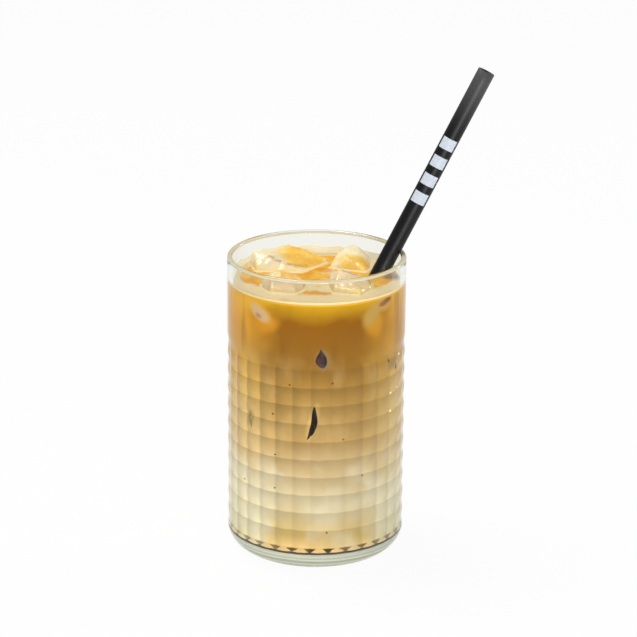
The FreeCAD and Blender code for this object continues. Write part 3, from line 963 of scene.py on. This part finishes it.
def oval(degrees, z, wide, tall):
    """Outline of a small oval from its middle, half width in degrees and half height in mm."""
    turns = [math.radians(60 * k) for k in range(6)]
    return [(degrees + wide * math.cos(a), z + tall * math.sin(a)) for a in turns]


def wall_patch(name, outline, colour, grain_colour, proud=0.16):
    """A thin closed patch lying on the side of the drink, inside the glass; as a glint it is a painted
    highlight.
    """
    fine = rounded(outline)
    middle = [sum(p[k] for p in fine) / len(fine) for k in (0, 1)]

    def place(p, lift):
        angle = math.radians(p[0] - 90)
        height = p[1] * MM
        r = drink_side(DRINK_RADIUS, height, angle) + lift * MM
        return (r * math.cos(angle), r * math.sin(angle), height)

    verts = [place(middle, proud), place(middle, -PATCH_DEEP)]
    faces = []
    for i in range(1, PATCH_RINGS + 1):
        share = i / PATCH_RINGS
        for p in fine:
            spot = [middle[k] + (p[k] - middle[k]) * share for k in (0, 1)]
            verts.append(place(spot, proud * (1 - share ** 4) + 0.02))
    for p in fine:
        verts.append(place(p, -PATCH_DEEP))
    n = len(fine)
    for j in range(n):
        k = (j + 1) % n
        faces.append((0, 2 + k, 2 + j))
        for i in range(PATCH_RINGS):
            a, b = 2 + i * n + j, 2 + i * n + k
            faces.append((a, b, b + n, a + n))
        faces.append((1, 2 + PATCH_RINGS * n + j, 2 + PATCH_RINGS * n + k))
    piece = mesh_piece(name, verts, faces)
    mat, tree, out = new_material(name + "_dark")
    place_node = node(tree, "ShaderNodeTexCoord").outputs["Object"]
    grain = noise_map(tree, place_node, 500.0, 3.0)
    tone = blend(tree, fade(tree, grain, 0.35, 0.7), srgb(*colour), srgb(*grain_colour))
    plain_shader(tree, out, {"Base Color": tone, "Roughness": 0.4, "Specular IOR Level": 0.1})
    piece.data.materials.append(mat)


def make_patches():
    wall_patch("crescent", CRESCENT, (10, 3, 2), (34, 16, 10))
    wall_patch("teardrop", TEARDROP, (36, 12, 8), (72, 38, 26))
    wall_patch("sliver", SLIVER, (146, 116, 70), (170, 142, 94))
    wall_patch("chip_high", CHIP_HIGH, (44, 32, 16), (74, 58, 34))
    wall_patch("chip_low", CHIP_LOW, (44, 30, 20), (80, 62, 40))
    for i, (degrees, z) in enumerate(SPECKS):
        wall_patch(f"speck_{i}", oval(degrees, z, 0.64, 0.42), (36, 22, 10), (70, 46, 22), 0.12)
    # Painted highlights: small pale patches for the glints.
    for i, (degrees, z) in enumerate(GLINTS):
        wall_patch(f"glint_{i}", oval(degrees, z, 0.95, 0.5), (255, 250, 232), (255, 244, 214), 0.14)


# ------------------------------------------------------------ straw

STRAW_RADIUS = 4.0 * MM
STRAW_WALL = 0.6 * MM
# Plain pale patches: how many, how far the first lies from the top, their pitch, length and half width.
BANDS = 4
BAND_START = 34.4 * MM
BAND_PITCH = 9.27 * MM
BAND_WIDTH = 5.4 * MM
BAND_REACH = 3.3 * MM
# The way the patches face, and how far down from the top the straw is greyer with painted sheen.
BAND_FACING = (0, -1, 0.36)
SHEEN_REACH = 34 * MM


def straw_axis():
    """Foot and top of the straw's middle line, from the CAD straw's mesh."""
    verts = np.array([v.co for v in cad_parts["straw"].data.vertices])
    middle = (verts[:, 2].min() + verts[:, 2].max()) / 2
    foot = Vector(verts[verts[:, 2] < middle].mean(0))
    top = Vector(verts[verts[:, 2] > middle].mean(0))
    return foot, top


def straw_material(foot, top):
    """Near-black satin tube, greyer at its top with painted sheen, with plain pale patches on the side that
    faces front.
    """
    mat, tree, out = new_material("straw_black")
    place = node(tree, "ShaderNodeTexCoord").outputs["Object"]
    axis = (top - foot).normalized()
    facing = Vector(BAND_FACING)
    facing = (facing - axis * facing.dot(axis)).normalized()
    aside = axis.cross(facing)

    def along(direction):
        dot = node(tree, "ShaderNodeVectorMath", {0: place, 1: tuple(direction)}, operation="DOT_PRODUCT")
        return dot.outputs["Value"]

    from_top = maths(tree, "SUBTRACT", top.dot(axis), along(axis))
    period = maths(tree, "DIVIDE", maths(tree, "SUBTRACT", from_top, BAND_START), BAND_PITCH)
    within = maths(tree, "LESS_THAN", maths(tree, "FRACT", period), BAND_WIDTH / BAND_PITCH)
    counted = maths(tree, "MULTIPLY", maths(tree, "GREATER_THAN", period, 0.0),
                    maths(tree, "LESS_THAN", period, float(BANDS)))
    across = maths(tree, "ABSOLUTE", maths(tree, "SUBTRACT", along(aside), foot.dot(aside)))
    printed = maths(tree, "MULTIPLY", maths(tree, "LESS_THAN", across, BAND_REACH),
                    maths(tree, "GREATER_THAN", along(facing), foot.dot(facing)))
    band = maths(tree, "MULTIPLY", maths(tree, "MULTIPLY", counted, within), printed)
    grain = noise_map(tree, place, 900.0, 2.0)
    black = blend(tree, grain, srgb(4, 4, 5), srgb(13, 13, 15))
    # Painted sheen: lighter grey towards the top.
    black = blend(tree, fade(tree, from_top, SHEEN_REACH, 0.0), black, srgb(70, 70, 71))
    pale = blend(tree, grain, srgb(182, 190, 202), srgb(202, 209, 220))
    colour = blend(tree, band, black, pale)
    plain_shader(tree, out, {"Base Color": colour, "Roughness": 0.45, "Specular IOR Level": 0.25})
    return mat


def make_straw():
    """A tube with softened ends, from the CAD straw's foot to its top."""
    foot, top = straw_axis()
    length = (top - foot).length
    bore = STRAW_RADIUS - STRAW_WALL
    soft = 0.15 * MM
    profile = [(bore, soft), (bore + soft, 0), (STRAW_RADIUS - soft, 0), (STRAW_RADIUS, soft)]
    profile += line(profile[-1], (STRAW_RADIUS, length - soft), 40)
    profile += [(STRAW_RADIUS - soft, length), (bore + soft, length), (bore, length - soft)]
    profile += line(profile[-1], (bore, soft), 40)[:-1]
    segments = 96
    turn = Vector((0, 0, 1)).rotation_difference((top - foot).normalized())
    verts = []
    for radius, height in profile:
        for j in range(segments):
            a = 2 * math.pi * j / segments
            verts.append(foot + turn @ Vector((radius * math.cos(a), radius * math.sin(a), height)))
    faces = ring_faces(len(profile), segments)
    last = (len(profile) - 1) * segments
    for j in range(segments):
        k = (j + 1) % segments
        faces.append((last + j, last + k, k, j))
    straw = mesh_piece("straw_tube", verts, faces)
    straw.data.materials.append(straw_material(foot, top))
    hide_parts("straw")


# ------------------------------------------------------------ stage

FLOOR_HALF = 6.0
FLOOR_GLOW = 0.94
WORLD_LIGHT = 0.36


def make_floor():
    """A pale floor that looks white to the camera, and in gloss and glass, and keeps the shadow."""
    size = FLOOR_HALF
    mesh = bpy.data.meshes.new("floor")
    corners = [(-size, -size, 0), (size, -size, 0), (size, size, 0), (-size, size, 0)]
    mesh.from_pydata(corners, [], [(0, 1, 2, 3)])
    floor = bpy.data.objects.new("floor", mesh)
    bpy.context.collection.objects.link(floor)
    mat, tree, out = new_material("floor_white")
    matt = node(tree, "ShaderNodeBsdfDiffuse", {"Color": (0.86, 0.86, 0.86, 1)})
    glow = node(tree, "ShaderNodeEmission", {"Color": (1, 1, 1, 1), "Strength": 1.0})
    path = node(tree, "ShaderNodeLightPath")
    seen = maths(tree, "ADD", path.outputs["Is Camera Ray"], path.outputs["Is Glossy Ray"])
    seen = maths(tree, "ADD", seen, path.outputs["Is Transmission Ray"])
    share = maths(tree, "MULTIPLY", seen, FLOOR_GLOW, clamp=True)
    mixed = node(tree, "ShaderNodeMixShader", {0: share, 1: matt.outputs[0], 2: glow.outputs[0]})
    tree.links.new(mixed.outputs[0], out.inputs["Surface"])
    mesh.materials.append(mat)


def make_world():
    """Even studio light."""
    world = bpy.data.worlds.new("studio")
    bpy.context.scene.world = world
    world.use_nodes = True
    tree = world.node_tree
    tree.nodes.clear()
    out = tree.nodes.new("ShaderNodeOutputWorld")
    soft = node(tree, "ShaderNodeBackground", {"Color": (1, 1, 1, 1), "Strength": WORLD_LIGHT})
    tree.links.new(soft.outputs[0], out.inputs["Surface"])


def area_lamp(name, place, target, size, power):
    data = bpy.data.lights.new(name, "AREA")
    data.shape = "SQUARE"
    data.size = size
    data.energy = power
    lamp = bpy.data.objects.new(name, data)
    lamp.location = place
    lamp.rotation_euler = (Vector(target) - Vector(place)).to_track_quat("-Z", "Y").to_euler()
    bpy.context.collection.objects.link(lamp)


def make_lamps():
    area_lamp("front", (0.26, -1.65, 0.24), (0, 0, 0.06), 0.5, 20.0)
    area_lamp("top", (-0.5, 0.3, 1.6), (0, 0, 0.1), 0.7, 17.0)
    area_lamp("rim", (1.3, 0.9, 0.30), (0, 0, 0.06), 0.35, 4.0)


# Camera: distance and elevation from a point half way up the glass, where it aims, roll and lens in mm.
CAMERA_DISTANCE = 1.3
CAMERA_ELEVATION = math.radians(19.9)
CAMERA_HALF_HEIGHT = 70.6 * MM
CAMERA_AIM = Vector((0.97 * MM, 0, 110.1 * MM))
CAMERA_ROLL = math.radians(0.4)
CAMERA_LENS = 158.1


def make_camera():
    data = bpy.data.cameras.new("camera")
    data.lens = CAMERA_LENS
    data.sensor_width = 36.0
    data.clip_end = 50.0
    camera = bpy.data.objects.new("camera", data)
    camera.location = (0, -CAMERA_DISTANCE * math.cos(CAMERA_ELEVATION),
                       CAMERA_HALF_HEIGHT + CAMERA_DISTANCE * math.sin(CAMERA_ELEVATION))
    facing = (CAMERA_AIM - camera.location).to_track_quat("-Z", "Y")
    camera.rotation_euler = (facing @ Quaternion((0, 0, 1), CAMERA_ROLL)).to_euler()
    bpy.context.collection.objects.link(camera)
    bpy.context.scene.camera = camera


make_glass()
make_lip_glow()
make_base_glow()
make_layer("milk", "milk_layer", FLOOR - INTO_FLOOR, MILK_TOP, MILK_EDGE)
make_layer("mixed", "mixed_layer", MILK_TOP, MIXED_TOP)
blocks = [make_ice(name) for name in ICE]
make_top([BVHTree.FromObject(b, bpy.context.evaluated_depsgraph_get()) for b in blocks])
make_film()
make_patches()
make_straw()
make_floor()
make_world()
make_lamps()
make_camera()
bpy.context.scene.view_settings.view_transform = "Standard"
